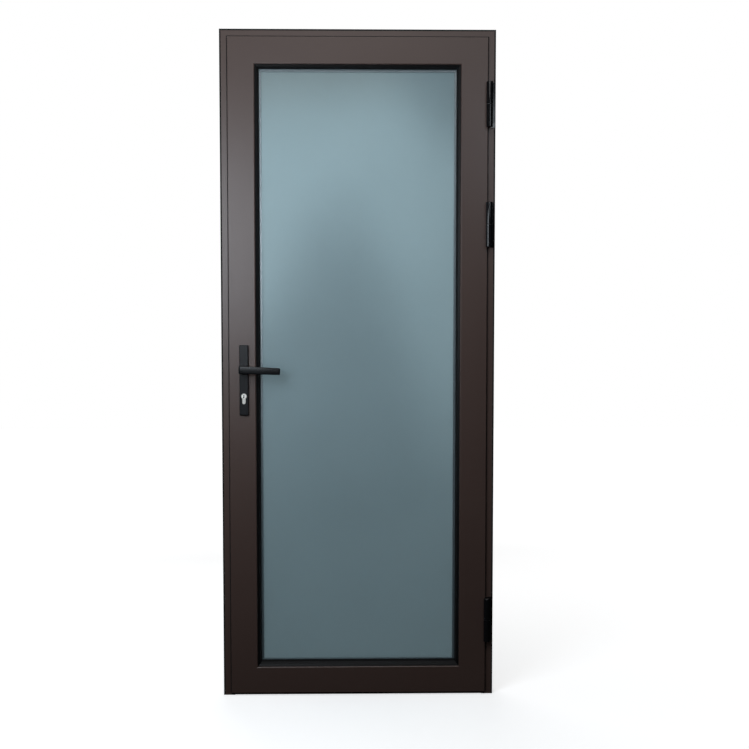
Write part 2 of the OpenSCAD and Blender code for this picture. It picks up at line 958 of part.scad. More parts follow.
// The run along the foot stands higher and sheds water
module front_glazing_gasket() {
    edge = sight + 0.5;
    w = leaf_w - 2 * edge;
    color(rubber)
        union() {
            all_sides()
                wedge_section();
            translate([-w / 2, 0, floor_gap])
                mirror([0, 0, 1])
                    rotate([0, 90, 0])
                        linear_extrude(w)
                            polygon([[edge - 0.4, glass_front - 1.3], [edge + drip_rise, glass_front - 0.8],
                                [edge + drip_rise, glass_front], [edge - 0.4, glass_front]]);
        }
}

module rear_glazing_gasket() {
    seat = leaf_rear - seat_d;
    color(rubber)
        all_sides()
            union() {
                seal_root(flange_seat, seat, 1);
                polygon(rounded([[sight - seat_w + 0.4, glass_rear], [sight + 0.5, glass_rear],
                    [sight + 0.5, seat - 0.6], [sight - 0.6, seat], [sight - seat_w + 0.4, seat]]));
            }
}

// Brush under the bottom rail
module along_width(w) {
    translate([-w / 2, 0, floor_gap + lip_reach])
        rotate([90, 0, 90])
            linear_extrude(w)
                children();
}

module brush_carrier() {
    jaw = brush_t / 2;
    color(mill)
        along_width(2 * leaf_edge - 2)
            polygon([[-jaw - 5, 0], [-jaw - 5, -1.5], [-jaw - 1.5, -1.5], [-jaw - 1.5, -carrier_h], [-jaw, -carrier_h],
                [-jaw, -1.5], [jaw, -1.5], [jaw, -carrier_h], [jaw + 1.5, -carrier_h], [jaw + 1.5, -1.5],
                [jaw + 5, -1.5], [jaw + 5, 0]]);
}

module bottom_brush() {
    drop = floor_gap + lip_reach - brush_clear;
    color(rubber)
        along_width(2 * leaf_edge - 2)
            translate([-brush_t / 2 + 0.05, -drop])
                square([brush_t - 0.1, drop - 1.5]);
}

// Lock
module faceplate_screw_places() {
    place_edge()
        for (z = [case_up + 8, -case_down - 8])
            translate([-faceplate_t, 0, z])
                rotate([0, 0, -90])
                    children();
}

module cylinder_screw_place() {
    place_edge()
        translate([-faceplate_t, 0, -lock_centres - web_drop + 4.2])
            rotate([0, 0, -90])
                children();
}

module case_openings() {
    place_lock()
        through_y(-case_t, case_t)
            union() {
                circle(r = follower_r);
                translate([0, -lock_centres])
                    cylinder_outline(0.3);
            }
}

module bolt_openings(x, depth, extra) {
    place_edge()
        union() {
            translate([x, -bolt_t / 2 - extra, latch_low - extra])
                cube([depth, bolt_t + 2 * extra, latch_h + 2 * extra]);
            translate([x, -bolt_t / 2 - extra, dead_top - dead_h - extra])
                cube([depth, bolt_t + 2 * extra, dead_h + 2 * extra]);
        }
}

module lock_case() {
    h = case_up + case_down;
    color(steel)
        difference() {
            place_edge()
                difference() {
                    translate([0, -case_t / 2, -case_down])
                        cube([case_depth, case_t - case_wall, h]);
                    translate([case_wall, -case_t / 2 + case_wall, -case_down + case_wall])
                        cube([case_depth - 2 * case_wall, case_t, h - 2 * case_wall]);
                }
            case_openings();
            bolt_openings(-1, case_wall + 2, 0.3);
            cylinder_screw_place()
                rotate([-90, 0, 0])
                    cylinder(r = bolt_r + 1.2, h = 8);
        }
}

module lock_cover() {
    color(steel)
        difference() {
            place_edge()
                translate([0, case_t / 2 - case_wall, -case_down])
                    cube([case_depth, case_wall, case_up + case_down]);
            case_openings();
        }
}

module lock_faceplate() {
    high = case_up + 16;
    low = -case_down - 16;
    half = faceplate_w / 2;
    color(nickel)
        difference() {
            place_edge()
                translate([-faceplate_t, 0, 0])
                    rotate([0, 90, 0])
                        linear_extrude(faceplate_t)
                            polygon(rounded([[-high, -half, 4], [-low, -half, 4], [-low, half, 4], [-high, half, 4]]));
            bolt_openings(-faceplate_t - 1, faceplate_t + 2, 0.3);
            faceplate_screw_places()
                screw_hole(screw_r, 20);
            cylinder_screw_place()
                screw_hole(bolt_r, 10);
        }
}

module faceplate_screws() {
    color(nickel)
        faceplate_screw_places()
            screw(screw_r, 12);
}

module latch_bolt() {
    tip = -faceplate_t - latch_throw;
    y = bolt_t / 2;
    color(nickel)
        place_edge()
            union() {
                translate([0, 0, latch_low])
                    linear_extrude(latch_h)
                        polygon(rounded([[tip, -y, 0.8], [14, -y], [14, y], [-faceplate_t - 1, y], [tip, -y + 3, 1]]));
                translate([12, -5, 20.5])
                    cube([lug_x + 3 - 12, 4, 5]);
                translate([lug_x, -5, 13])
                    cube([3, 4, 8]);
            }
}

module dead_bolt() {
    y = bolt_t / 2;
    low = dead_top - dead_h;
    lug_low = cam_r + 2 - lock_centres;
    lug_near = dead_throw + case_wall + 1;
    color(nickel)
        place_edge()
            union() {
                translate([-faceplate_t, -y, low])
                    cube([backset, bolt_t, dead_h]);
                translate([lug_near, -5, lug_low])
                    cube([backset + 10 - lug_near, 3, low - lug_low + 6]);
            }
}

module lock_follower() {
    inner = case_t / 2 - case_wall - 0.3;
    color(steel)
        place_lock()
            difference() {
                union() {
                    through_y(-case_t / 2, case_t / 2)
                        circle(r = follower_r - running);
                    through_y(-inner, inner)
                        circle(r = follower_r + 1.5);
                    rotate([0, -arm_rest, 0])
                        translate([-2.5, -5, 0])
                            cube([5, 4, 17.5]);
                }
                translate([-spindle_hole / 2, -case_t, -spindle_hole / 2])
                    cube([spindle_hole, 2 * case_t, spindle_hole]);
            }
}

// Profile cylinder
module place_key() {
    translate([lever_x, 0, key_z])
        children();
}

module cylinder_body() {
    color(nickel)
        place_key()
            difference() {
                through_y(-cylinder_half, cylinder_half)
                    cylinder_outline(0);
                through_y(-cylinder_half - 1, cylinder_half + 1)
                    circle(r = plug_r + running);
                through_y(-cam_t / 2 - fit, cam_t / 2 + fit)
                    circle(r = cam_r + 1);
                translate([-web_w, 0, -web_drop + 4.2])
                    rotate([0, 90, 0])
                        cylinder(r = bolt_r, h = 2 * web_w);
            }
}

module key_plug() {
    depth = cylinder_half - cam_t / 2;
    place_key()
        difference() {
            translate([0, -cam_t / 2, 0])
                rotate([90, 0, 0])
                    rotate_extrude()
                        polygon([[0, 0], [plug_r, 0], [plug_r, depth - 0.6], [plug_r - 0.6, depth], [0, depth]]);
            translate([-1.5, -cylinder_half - 1, -5])
                cube([3, depth - 4, 9.5]);
            translate([-2.6, -cylinder_half - 1, -5])
                cube([2, depth - 4, 2.8]);
        }
}

module front_key_plug() {
    color(nickel)
        key_plug();
}

module rear_key_plug() {
    color(nickel)
        mirror([0, 1, 0])
            key_plug();
}

module cylinder_cam() {
    color(steel)
        place_key()
            union() {
                through_y(-cam_t / 2, cam_t / 2)
                    circle(r = barrel_r - 0.3);
                through_y(-cam_t / 2, cam_t / 2)
                    polygon(rounded([[-3.8, 0], [3.8, 0], [2.8, -cam_r + 0.4, 1], [-2.8, -cam_r + 0.4, 1]]));
            }
}

module cylinder_screw() {
    color(steel)
        cylinder_screw_place()
            screw(bolt_r, backset + 5);
}

// Handles, drawn for the outside with the lever axis at the origin and the leaf face at Y = 0
module plate_outer() {
    b = plate_bevel;
    x = plate_w / 2;
    intersection() {
        translate([0, 0, -plate_down - 1])
            linear_extrude(plate_up + plate_down + 2)
                polygon([[-x, 0], [-x, -plate_t + b], [-x + b, -plate_t], [x - b, -plate_t], [x, -plate_t + b], [x, 0]]);
        translate([-plate_w, 0, 0])
            rotate([90, 0, 90])
                linear_extrude(2 * plate_w)
                    polygon([[0, -plate_down], [-plate_t + b, -plate_down], [-plate_t, -plate_down + b],
                        [-plate_t, plate_up - b], [-plate_t + b, plate_up], [0, plate_up]]);
        through_y(-plate_t - 1, 1)
            polygon(rounded([[-x, -plate_down, 3], [x, -plate_down, 3], [x, plate_up, 3], [-x, plate_up, 3]]));
    }
}

module handle_plate(through) {
    w = plate_wall;
    inner = plate_w - 2 * w;
    difference() {
        union() {
            difference() {
                plate_outer();
                translate([-inner / 2, -plate_t + w, -plate_down + w])
                    cube([inner, plate_t, plate_up + plate_down - 2 * w]);
            }
            through_y(-plate_t + 1, 0)
                union() {
                    circle(r = plate_w / 2 - 1);
                    translate([0, -lock_centres])
                        cylinder_outline(w);
                    translate([0, bolt_up])
                        circle(r = 2 * bolt_r + 1);
                    translate([0, -bolt_down])
                        circle(r = 2 * bolt_r + 1);
                }
        }
        through_y(-plate_t - 1, 1)
            circle(r = journal_r);
        translate([0, 0, -lock_centres])
            through_y(-plate_t - 1, 1)
                cylinder_outline(0.3);
        for (z = [bolt_up, -bolt_down])
            translate([0, through ? -plate_t : -plate_t + 2, z])
                rotate([-90, 0, 0])
                    cylinder(r = bolt_r, h = plate_t);
        if (through)
            for (z = [bolt_up, -bolt_down])
                translate([0, -plate_t, z])
                    screw_hole(bolt_r, plate_t + 1);
    }
}

module front_handle_plate() {
    color(black)
        translate([lever_x, leaf_front, lever_z])
            handle_plate(false);
}

module rear_handle_plate() {
    color(black)
        mirror([0, 1, 0])
            translate([lever_x, leaf_front, lever_z])
                handle_plate(true);
}

module handle_bolts() {
    color(steel)
        place_lock()
            for (z = [bolt_up, -bolt_down])
                translate([0, -plate_front, z])
                    rotate([0, 0, 180])
                        screw(bolt_r, leaf_depth + 2 * plate_t - 3.5);
}

module lever_bar() {
    base = plate_front - collar_h + 0.5;
    back = lever_front + lever_t;
    n = neck_w / 2;
    h = lever_h / 2;
    t = lever_tip_h / 2;
    intersection() {
        translate([0, 0, -h])
            linear_extrude(lever_h)
                polygon(rounded([[-n, base], [n, base], [n, back, 9], [lever_reach, back, 3],
                    [lever_reach, lever_front, 4], [-n, lever_front, 8]], 6));
        through_y(lever_front - 1, base + 1)
            polygon(rounded([[-n - 1, -h], [n, -h], [lever_reach, -t, 3], [lever_reach, t, 3], [n, h], [-n - 1, h]]));
        translate([-n - 1, 0, 0])
            rotate([90, 0, 90])
                linear_extrude(lever_reach + n + 2)
                    polygon(rounded([[base + 1, -h], [lever_front, -h, 4], [lever_front, h, 4], [base + 1, h]]));
    }
}

module lever() {
    difference() {
        union() {
            rotate([0, lever_droop, 0])
                lever_bar();
            translate([0, plate_front - running, 0])
                rotate([90, 0, 0])
                    rotate_extrude()
                        polygon([[0, 0], [collar_r, 0], [collar_r, collar_h - 1], [collar_r - 1, collar_h], [0, collar_h]]);
            through_y(plate_front - 1, plate_front + plate_t - 2)
                circle(r = journal_r - running);
        }
        translate([-spindle_hole / 2, -spindle_half - 2, -spindle_hole / 2])
            cube([spindle_hole, spindle_half, spindle_hole]);
        translate([0, plate_front - collar_h - 8, -lever_h])
            cylinder(r = bolt_r, h = lever_h);
    }
}

module front_lever() {
    color(black)
        place_lock()
            lever();
}

module rear_lever() {
    color(black)
        place_lock()
            mirror([0, 1, 0])
                lever();
}

module spindle() {
    color(steel)
        place_lock()
            translate([-spindle_w / 2, -spindle_half, -spindle_w / 2])
                cube([spindle_w, 2 * spindle_half, spindle_w]);
}

module lever_grub_screws() {
    y = plate_front - collar_h - 8;
    low = -lever_h / 2 + 1;
    color(steel)
        place_lock()
            for (side = [-1, 1])
                translate([0, side * y, low])
                    difference() {
                        cylinder(r = bolt_r, h = -spindle_w / 2 - low);
                        translate([0, 0, -1])
                            cylinder(r = bolt_r * 0.5, h = 3, $fn = 6);
                    }
}

frame_lock_jamb();
frame_hinge_jamb();
frame_head();
frame_corner_cleats();
frame_stop_gasket();
strike_plate();
strike_screws();
hinge_frame_screws();
top_hinge_frame_half();
middle_hinge_frame_half();
bottom_hinge_frame_half();
top_hinge_pin();
middle_hinge_pin();
bottom_hinge_pin();
leaf_lock_stile();
leaf_hinge_stile();
leaf_top_rail();
leaf_bottom_rail();
leaf_corner_cleats();
leaf_lip_gasket();
front_glass_pane();
rear_glass_pane();
glass_spacer();
glass_edge_sealant();
setting_blocks();
lock_side_bead();
hinge_side_bead();
top_bead();
bottom_bead();
front_glazing_gasket();
rear_glazing_gasket();
brush_carrier();
bottom_brush();
top_hinge_leaf_half();
middle_hinge_leaf_half();
bottom_hinge_leaf_half();
top_hinge_bush();
middle_hinge_bush();
bottom_hinge_bush();
hinge_leaf_screws();
lock_case();
lock_cover();
lock_faceplate();
faceplate_screws();
cylinder_body();
cylinder_screw();
front_handle_plate();
rear_handle_plate();
handle_bolts();
front_lever();
rear_lever();
spindle();
lock_follower();
lever_grub_screws();
latch_bolt();
dead_bolt();
front_key_plug();
rear_key_plug();
cylinder_cam();
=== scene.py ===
"""A hinged aluminium door in its frame, with a frosted glass unit, a lever lock and three barrel hinges."""

import math

import bmesh
import bpy
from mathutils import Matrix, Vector


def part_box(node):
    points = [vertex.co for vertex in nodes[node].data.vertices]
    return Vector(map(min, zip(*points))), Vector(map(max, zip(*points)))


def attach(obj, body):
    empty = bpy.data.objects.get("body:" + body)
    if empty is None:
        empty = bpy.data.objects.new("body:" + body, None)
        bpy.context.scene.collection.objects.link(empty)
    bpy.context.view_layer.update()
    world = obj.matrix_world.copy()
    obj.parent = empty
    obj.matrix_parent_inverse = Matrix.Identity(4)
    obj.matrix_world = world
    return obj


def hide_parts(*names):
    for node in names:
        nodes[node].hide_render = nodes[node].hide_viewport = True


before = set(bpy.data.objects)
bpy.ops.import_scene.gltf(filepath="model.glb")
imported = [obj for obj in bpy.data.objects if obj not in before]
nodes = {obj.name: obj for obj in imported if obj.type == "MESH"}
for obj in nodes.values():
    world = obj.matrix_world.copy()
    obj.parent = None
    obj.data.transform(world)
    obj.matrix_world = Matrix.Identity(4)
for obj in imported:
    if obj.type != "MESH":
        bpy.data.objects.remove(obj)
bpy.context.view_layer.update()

# Fixed frame
# Two jambs and a head sawn from one hollow aluminium extrusion, mitred at the top corners.
# Satin brown powder coat: a soft broad shine, a slight drift of shade and an orange peel, drawn coarser
# than the real 1.5 mm so that it shows. A thin black line of painted shade runs along the outer edge of the
# face.
BROWN = ("#44342f", "#4b3b35")
BROWN_GLOSS = (0.36, 0.46)
BROWN_RELIEF_MM = 0.05
COAT_DRIFT_MM = 240
COAT_PEEL_MM = 4
# Black of the painted shade line along the frame's outer edge, its width, and how far behind the face it
# reaches.
EDGE_SHADE_BLACK = "#0a0a0a"
EDGE_SHADE_WIDTH_MM = 5
EDGE_SHADE_DEPTH_MM = 6
NOISE_LOW = 0.25
NOISE_HIGH = 0.75
BUMP_STRENGTH = 0.3


def linear_colour(hex_code):
    """Turns an sRGB hex colour into the linear values that a shader takes."""
    channels = [int(hex_code[i : i + 2], 16) / 255 for i in (1, 3, 5)]
    return [c / 12.92 if c <= 0.04045 else ((c + 0.055) / 1.055) ** 2.4 for c in channels] + [1.0]


def per_metre(feature_mm):
    """Gives the texture scale at which one feature of a pattern is that many millimetres across."""
    return 1000 / feature_mm


def add_node(tree, kind, settings=None, inputs=None, links=None):
    """Adds one node, sets it up and links its inputs, named or numbered, to other nodes' outputs."""
    made = tree.nodes.new(kind)
    for name, value in (settings or {}).items():
        setattr(made, name, value)
    for name, value in (inputs or {}).items():
        made.inputs[name].default_value = value
    for name, output in (links or {}).items():
        tree.links.new(output, made.inputs[name])
    return made


def new_material(name):
    """Makes an empty material and returns it with its node tree and its surface socket."""
    material = bpy.data.materials.new(name)
    material.use_nodes = True
    material.node_tree.nodes.clear()
    output = material.node_tree.nodes.new("ShaderNodeOutputMaterial")
    return material, material.node_tree, output.inputs["Surface"]


def dress(names, material):
    """Gives CAD nodes their material."""
    for name in names:
        mesh = nodes[name].data
        mesh.materials.clear()
        mesh.materials.append(material)


def finish(
    name, shades, drift_mm, grain_mm, relief_mm, roughness, metallic=0.0, specular=0.5, stretch=(1, 1, 1)
):
    """A surface whose shade drifts between two colours and whose fine grain breaks up the shine."""
    material, tree, surface = new_material(name)
    place = add_node(tree, "ShaderNodeTexCoord").outputs["Object"]
    along = add_node(tree, "ShaderNodeMapping", inputs={"Scale": stretch}, links={"Vector": place})
    run = along.outputs["Vector"]
    drift = add_node(
        tree,
        "ShaderNodeTexNoise",
        inputs={"Scale": per_metre(drift_mm), "Detail": 3.0},
        links={"Vector": run},
    )
    shade = add_node(
        tree,
        "ShaderNodeMix",
        {"data_type": "RGBA"},
        {6: linear_colour(shades[0]), 7: linear_colour(shades[1])},
        {0: drift.outputs["Fac"]},
    )
    grain = add_node(
        tree,
        "ShaderNodeTexNoise",
        inputs={"Scale": per_metre(grain_mm), "Detail": 2.0},
        links={"Vector": run},
    )
    gloss = add_node(
        tree,
        "ShaderNodeMapRange",
        inputs={
            "From Min": NOISE_LOW,
            "From Max": NOISE_HIGH,
            "To Min": roughness[0],
            "To Max": roughness[1],
        },
        links={"Value": grain.outputs["Fac"]},
    )
    bump = add_node(
        tree,
        "ShaderNodeBump",
        inputs={"Strength": BUMP_STRENGTH, "Distance": relief_mm / 1000},
        links={"Height": grain.outputs["Fac"]},
    )
    shader = add_node(
        tree,
        "ShaderNodeBsdfPrincipled",
        inputs={"Metallic": metallic, "Specular IOR Level": specular},
        links={
            "Base Color": shade.outputs[2],
            "Roughness": gloss.outputs["Result"],
            "Normal": bump.outputs["Normal"],
        },
    )
    tree.links.new(shader.outputs["BSDF"], surface)
    return material


def overlay(material, mask, hex_code, dullness):
    """Lays a second colour with its own roughness over a finish where the mask is 1."""
    tree = material.node_tree
    shader = next(n for n in tree.nodes if n.type == "BSDF_PRINCIPLED")
    colour_under = shader.inputs["Base Color"].links[0].from_socket
    gloss_under = shader.inputs["Roughness"].links[0].from_socket
    shade = add_node(
        tree,
        "ShaderNodeMix",
        {"data_type": "RGBA"},
        {7: linear_colour(hex_code)},
        {0: mask, 6: colour_under},
    )
    gloss = add_node(
        tree,
        "ShaderNodeMix",
        {"data_type": "FLOAT"},
        {3: dullness},
        {0: mask, 2: gloss_under},
    )
    tree.links.new(shade.outputs[2], shader.inputs["Base Color"])
    tree.links.new(gloss.outputs[0], shader.inputs["Roughness"])


def object_axes(tree):
    """The X, Y and Z of a point on the piece, as sockets."""
    place = add_node(tree, "ShaderNodeTexCoord").outputs["Object"]
    return add_node(tree, "ShaderNodeSeparateXYZ", links={0: place}).outputs


def painted_edge_shade(tree):
    """1 on the outer front edge of the frame's face, and 0 elsewhere."""
    low, high = (Vector(c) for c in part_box("frame_head"))
    line = EDGE_SHADE_WIDTH_MM / 1000
    axes = object_axes(tree)
    across = add_node(tree, "ShaderNodeMath", {"operation": "ABSOLUTE"}, links={0: axes["X"]})
    at_side = add_node(
        tree,
        "ShaderNodeMath",
        {"operation": "GREATER_THAN"},
        {1: high.x - line},
        {0: across.outputs[0]},
    )
    at_top = add_node(
        tree,
        "ShaderNodeMath",
        {"operation": "GREATER_THAN"},
        {1: high.z - line},
        {0: axes["Z"]},
    )
    at_edge = add_node(
        tree,
        "ShaderNodeMath",
        {"operation": "MAXIMUM"},
        links={0: at_side.outputs[0], 1: at_top.outputs[0]},
    )
    in_front = add_node(
        tree,
        "ShaderNodeMath",
        {"operation": "LESS_THAN"},
        {1: low.y + EDGE_SHADE_DEPTH_MM / 1000},
        {0: axes["Y"]},
    )
    mask = add_node(
        tree,
        "ShaderNodeMath",
        {"operation": "MULTIPLY"},
        links={0: at_edge.outputs[0], 1: in_front.outputs[0]},
    )
    return mask.outputs[0]


frame_coat = finish(
    "brown_powder_coat_frame", BROWN, COAT_DRIFT_MM, COAT_PEEL_MM, BROWN_RELIEF_MM, BROWN_GLOSS
)
# Paints a thin black line of shade along the outer edge of the frame's face.
overlay(frame_coat, painted_edge_shade(frame_coat.node_tree), EDGE_SHADE_BLACK, dullness=0.95)
dress(["frame_lock_jamb", "frame_hinge_jamb", "frame_head"], frame_coat)

# Corner cleats and brush carrier
# Cast and pressed aluminium without a coat, crimped into the hollow sections and screwed under the leaf.
# As it comes from the press: pale, dull, with fine lines along its length.
mill_aluminium = finish(
    "mill_aluminium",
    ("#c4c7c9", "#d4d6d8"),
    drift_mm=60,
    grain_mm=1.2,
    relief_mm=0.02,
    roughness=(0.36, 0.48),
    metallic=0.6,
    stretch=(0.1, 1, 1),
)
dress(["frame_corner_cleats", "leaf_corner_cleats", "brush_carrier"], mill_aluminium)

# Seals
# Extruded EPDM rubber pushed into the grooves of frame and leaf; its thin fin shows as a black line.
# Matte black with a faint bloom and hardly any shine.
epdm_rubber = finish(
    "epdm_rubber",
    ("#0c0c0d", "#141415"),
    drift_mm=45,
    grain_mm=0.9,
    relief_mm=0.03,
    roughness=(0.6, 0.8),
    specular=0.25,
)
dress(["frame_stop_gasket", "leaf_lip_gasket", "front_glazing_gasket", "rear_glazing_gasket"], epdm_rubber)

# Leaf
# Two stiles and two rails of a deeper hollow extrusion, mitred and crimped on cleats.
# The same satin brown powder coat as the frame, without the painted shade line.
leaf_coat = finish("brown_powder_coat", BROWN, COAT_DRIFT_MM, COAT_PEEL_MM, BROWN_RELIEF_MM, BROWN_GLOSS)
dress(["leaf_lock_stile", "leaf_hinge_stile", "leaf_top_rail", "leaf_bottom_rail"], leaf_coat)

# Glass unit
# A clear front pane and an acid-etched rear pane around a grey anodised spacer, closed with black sealant.
# The etch, drawn coarser than its real grain so that it shows, scatters light into a smooth blue-grey cloud.
# The front pane only adds gloss, so the spacer shows as a thin line along the edge.
GLASS_IOR = 1.5
GLASS_CLOUD_MM = 420
ETCH_GRAIN_MM = 3


def glass_pane(name, shades, roughness, through, cover):
    """Tinted glass: through is how much light it scatters onwards, cover is how solid it looks."""
    material, tree, surface = new_material(name)
    place = add_node(tree, "ShaderNodeTexCoord").outputs["Object"]
    cloud = add_node(
        tree,
        "ShaderNodeTexNoise",
        inputs={"Scale": per_metre(GLASS_CLOUD_MM), "Detail": 1.0},
        links={"Vector": place},
    )
    tint = add_node(
        tree,
        "ShaderNodeMix",
        {"data_type": "RGBA"},
        {6: linear_colour(shades[0]), 7: linear_colour(shades[1])},
        {0: cloud.outputs["Fac"]},
    )
    etch = add_node(
        tree,
        "ShaderNodeTexNoise",
        inputs={"Scale": per_metre(ETCH_GRAIN_MM), "Detail": 1.0},
        links={"Vector": place},
    )
    gloss = add_node(
        tree,
        "ShaderNodeMapRange",
        inputs={
            "From Min": NOISE_LOW,
            "From Max": NOISE_HIGH,
            "To Min": roughness[0],
            "To Max": roughness[1],
        },
        links={"Value": etch.outputs["Fac"]},
    )
    pane = add_node(
        tree,
        "ShaderNodeBsdfPrincipled",
        inputs={"IOR": GLASS_IOR, "Transmission Weight": through, "Alpha": cover},
        links={"Base Color": tint.outputs[2], "Roughness": gloss.outputs["Result"]},
    )
    tree.links.new(pane.outputs["BSDF"], surface)
    return material


clear_glass = glass_pane(
    "clear_float_glass", ("#7d949b", "#89a2ab"), roughness=(0.4, 0.5), through=0.0, cover=0.16
)
dress(["front_glass_pane"], clear_glass)
etched_glass = glass_pane(
    "etched_float_glass", ("#83989e", "#92a7ad"), roughness=(0.68, 0.76), through=0.75, cover=1.0
)
dress(["rear_glass_pane"], etched_glass)
spacer_grey = finish(
    "anodised_aluminium",
    ("#83888b", "#919699"),
    drift_mm=60,
    grain_mm=1.2,
    relief_mm=0.01,
    roughness=(0.4, 0.5),
    metallic=1.0,
    stretch=(0.1, 1, 0.1),
)
dress(["glass_spacer"], spacer_grey)
dress(["glass_edge_sealant"], epdm_rubber)

# Setting blocks
# Moulded nylon blocks that carry the glass and keep it clear of the metal.
# Pale, waxy and a little uneven.
NYLON_GRAIN = {"drift_mm": 20, "grain_mm": 0.7, "relief_mm": 0.02, "roughness": (0.4, 0.55)}
white_nylon = finish("white_nylon", ("#c4c2b8", "#d6d4cc"), **NYLON_GRAIN)
dress(["setting_blocks"], white_nylon)

# Glazing beads
# Four snap-in aluminium beads, mitred at the corners, that hold the glass against the rear gasket.
# Black powder coat with a low shine, which sets the glass off from the brown leaf.
bead_coat = finish(
    "black_powder_coat_bead",
    ("#0b0b0c", "#111112"),
    COAT_DRIFT_MM,
    COAT_PEEL_MM,
    relief_mm=0.03,
    roughness=(0.4, 0.5),
    specular=0.15,
)
dress(["lock_side_bead", "hinge_side_bead", "top_bead", "bottom_bead"], bead_coat)

# Bottom brush
# Black nylon pile held in the carrier under the bottom rail, closing the gap above the floor.
# Each bristle leans its own way. Drawn as thicker bristles than the real ones, so that they show.
BRISTLE_RADIUS_MM = 0.25
BRISTLE_TIP_MM = 0.15
BRISTLE_CLEARANCE_MM = 0.4
BRISTLES_PER_SQUARE_METRE = 1.8e6
BRISTLE_LEAN_DEG = 2.5
BRUSH_SEED = 4

pile_material = finish(
    "black_nylon_pile",
    ("#080809", "#121213"),
    drift_mm=15,
    grain_mm=1.0,
    relief_mm=0.02,
    roughness=(0.7, 0.9),
    specular=0.2,
)
pile_low, pile_high = (Vector(c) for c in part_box("bottom_brush"))
pile_length = pile_high.z - pile_low.z - BRISTLE_CLEARANCE_MM / 1000
pile_tree = bpy.data.node_groups.new("brush_pile", "GeometryNodeTree")
PILE_INPUTS = {
    "Geometry": ("NodeSocketGeometry", None),
    "Pile length": ("NodeSocketFloat", pile_length),
    "Bristle radius": ("NodeSocketFloat", BRISTLE_RADIUS_MM / 1000),
    "Bristles per square metre": ("NodeSocketFloat", BRISTLES_PER_SQUARE_METRE),
    "Lean": ("NodeSocketFloat", math.radians(BRISTLE_LEAN_DEG)),
    "Seed": ("NodeSocketInt", BRUSH_SEED),
    "Pile material": ("NodeSocketMaterial", pile_material),
}
pile_sockets = {
    name: pile_tree.interface.new_socket(name, in_out="INPUT", socket_type=kind)
    for name, (kind, value) in PILE_INPUTS.items()
}
pile_tree.interface.new_socket("Geometry", in_out="OUTPUT", socket_type="NodeSocketGeometry")
pile_in = add_node(pile_tree, "NodeGroupInput").outputs
roots = add_node(
    pile_tree,
    "GeometryNodeDistributePointsOnFaces",
    links={
        "Mesh": pile_in["Geometry"],
        "Density": pile_in["Bristles per square metre"],
        "Seed": pile_in["Seed"],
    },
)
bristle = add_node(
    pile_tree,
    "GeometryNodeMeshCone",
    {"fill_type": "TRIANGLE_FAN"},
    {"Vertices": 3, "Radius Top": BRISTLE_TIP_MM / 1000},
    {"Radius Bottom": pile_in["Bristle radius"], "Depth": pile_in["Pile length"]},
)
lean_back = add_node(
    pile_tree,
    "ShaderNodeMath",
    {"operation": "MULTIPLY"},
    {1: -1.0},
    {0: pile_in["Lean"]},
)
lean_from = add_node(
    pile_tree,
    "ShaderNodeCombineXYZ",
    inputs={"Z": -math.pi},
    links={"X": lean_back.outputs[0], "Y": lean_back.outputs[0]},
)
lean_to = add_node(
    pile_tree,
    "ShaderNodeCombineXYZ",
    inputs={"Z": math.pi},
    links={"X": pile_in["Lean"], "Y": pile_in["Lean"]},
)
lean = add_node(
    pile_tree,
    "FunctionNodeRandomValue",
    {"data_type": "FLOAT_VECTOR"},
    links={0: lean_from.outputs[0], 1: lean_to.outputs[0], "Seed": pile_in["Seed"]},
)
down = add_node(
    pile_tree,
    "ShaderNodeVectorMath",
    {"operation": "ADD"},
    {1: (math.pi, 0.0, 0.0)},
    {0: lean.outputs[0]},
)
bristles = add_node(
    pile_tree,
    "GeometryNodeInstanceOnPoints",
    links={
        "Points": roots.outputs["Points"],
        "Instance": bristle.outputs["Mesh"],
        "Rotation": down.outputs["Vector"],
    },
)
pile_real = add_node(
    pile_tree,
    "GeometryNodeRealizeInstances",
    links={"Geometry": bristles.outputs["Instances"]},
)
pile_dressed = add_node(
    pile_tree,
    "GeometryNodeSetMaterial",
    links={"Geometry": pile_real.outputs["Geometry"], "Material": pile_in["Pile material"]},
)
add_node(pile_tree, "NodeGroupOutput", links={"Geometry": pile_dressed.outputs["Geometry"]})

edge = BRISTLE_RADIUS_MM / 1000
pile_corners = [
    (pile_low.x + edge, pile_low.y + edge, pile_high.z),
    (pile_high.x - edge, pile_low.y + edge, pile_high.z),
    (pile_high.x - edge, pile_high.y - edge, pile_high.z),
    (pile_low.x + edge, pile_high.y - edge, pile_high.z),
]
pile_strip = bpy.data.meshes.new("brush_pile_strip")
pile_strip.from_pydata(pile_corners, [], [(0, 1, 2, 3)])
brush = bpy.data.objects.new("brush_pile", pile_strip)
bpy.context.scene.collection.objects.link(brush)
pile_modifier = brush.modifiers.new("pile", "NODES")
pile_modifier.node_group = pile_tree
for name, socket in pile_sockets.items():
    if name != "Geometry":
        pile_modifier[socket.identifier] = PILE_INPUTS[name][1]
pile_result = brush.evaluated_get(bpy.context.evaluated_depsgraph_get())
pile_mesh = bpy.data.meshes.new_from_object(pile_result)
brush.modifiers.clear()
brush.data = pile_mesh
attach(brush, "leaf")
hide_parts("bottom_brush")

# Hinges
# Three cast aluminium barrel hinges with a steel pin in the lower half and a nylon bush above it.
# The plates are screwed to the frame's face and to the edge of the leaf.
# Black powder coat, smoother and glossier than the beads', so that the barrel carries a thin line of light.
HINGES = ["top", "middle", "bottom"]
HINGE_EDGE_MM = 0.5
MERGE_DISTANCE_MM = 0.001
FLAT_DEG = 0.5
SMOOTH_DEG = 30
ROUNDED_DEG = 40


